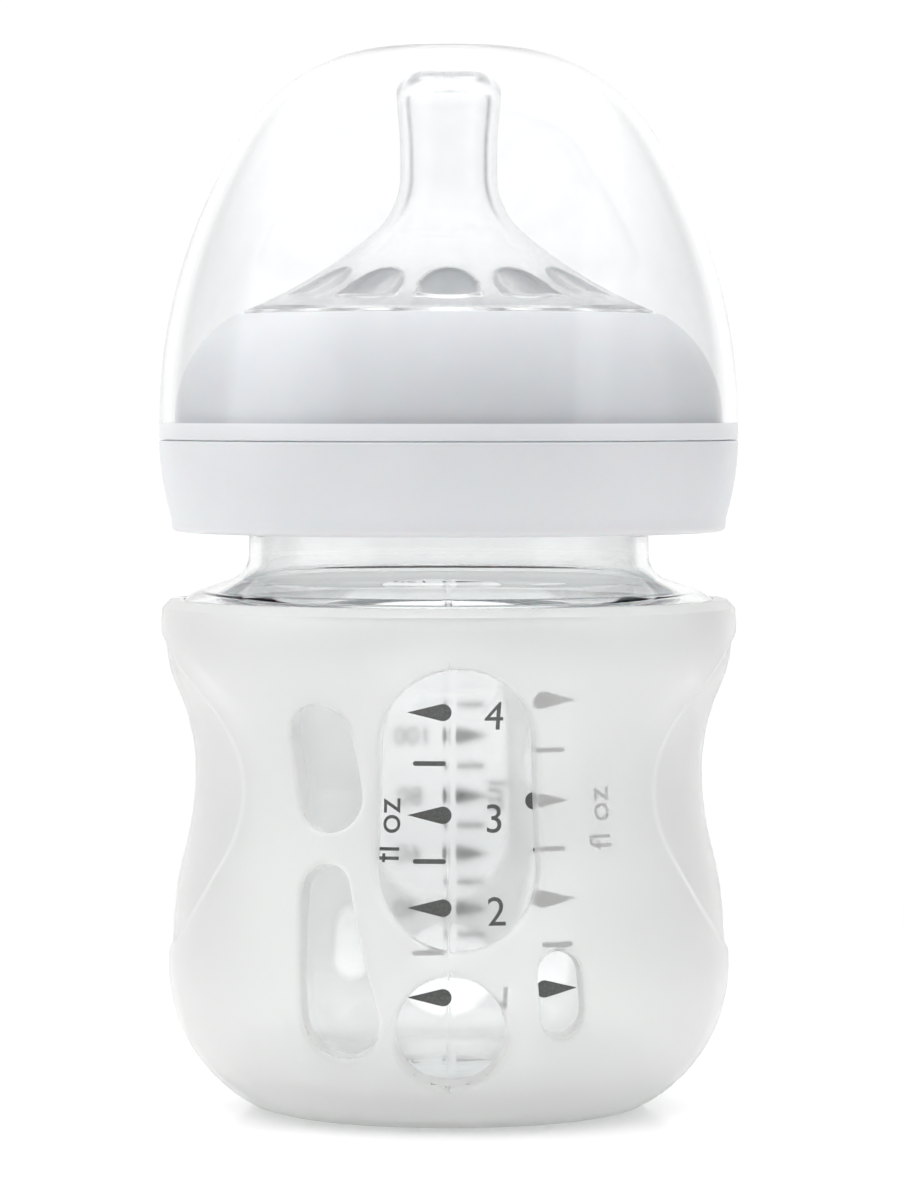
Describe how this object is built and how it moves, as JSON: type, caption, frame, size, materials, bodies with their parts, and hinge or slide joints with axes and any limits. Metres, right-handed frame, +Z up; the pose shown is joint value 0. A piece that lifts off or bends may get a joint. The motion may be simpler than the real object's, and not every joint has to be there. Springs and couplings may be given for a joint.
{
  "type": "baby bottle",
  "caption": "Wide-neck glass feeding bottle in a windowed silicone sleeve, with a screw ring, clear teat and dome cap.",
  "frame": {"origin": "centre of the underside of the sleeve, on the surface that the bottle stands on", "axes": "+Z up along the bottle's axis, -Y to the front with the two ounce scales, +X to the right"},
  "size_m": [0.0694, 0.0694, 0.127],
  "materials": {
    "bottle_glass": "clear, polished",
    "sleeve_silicone": "satin, translucent",
    "ring_plastic": "satin",
    "teat_silicone": "clear, soft gloss",
    "cap_plastic": "clear, glossy",
    "scale_print": "fired enamel"
  },
  "bodies": {
    "bottle": {"glass_bottle": "bottle_glass", "silicone_sleeve": "sleeve_silicone", "ounce_marks_left": "scale_print", "ounce_marks_right": "scale_print", "millilitre_marks": "scale_print"},
    "teat": {"teat": "teat_silicone"},
    "ring": {"screw_ring": "ring_plastic"},
    "cap": {"dome_cap": "cap_plastic"}
  },
  "joints": [
    {"name": "teat_lift", "type": "slide", "parent": "bottle", "child": "teat", "axis": [0, 0, 1], "range_m": [0, 0.0176]},
    {"name": "ring_turn", "type": "hinge", "parent": "teat", "child": "ring", "pos_m": [0, 0, 0.08], "axis": [0, 0, 1], "range_deg": [0, 1260]},
    {"name": "cap_lift", "type": "slide", "parent": "ring", "child": "cap", "axis": [0, 0, 1], "range_m": [0, 0.05]}
  ],
  "couplings": [
    {"joint": "teat_lift", "follows": "ring_turn", "m_per_rad": 0.00079577}
  ]
}
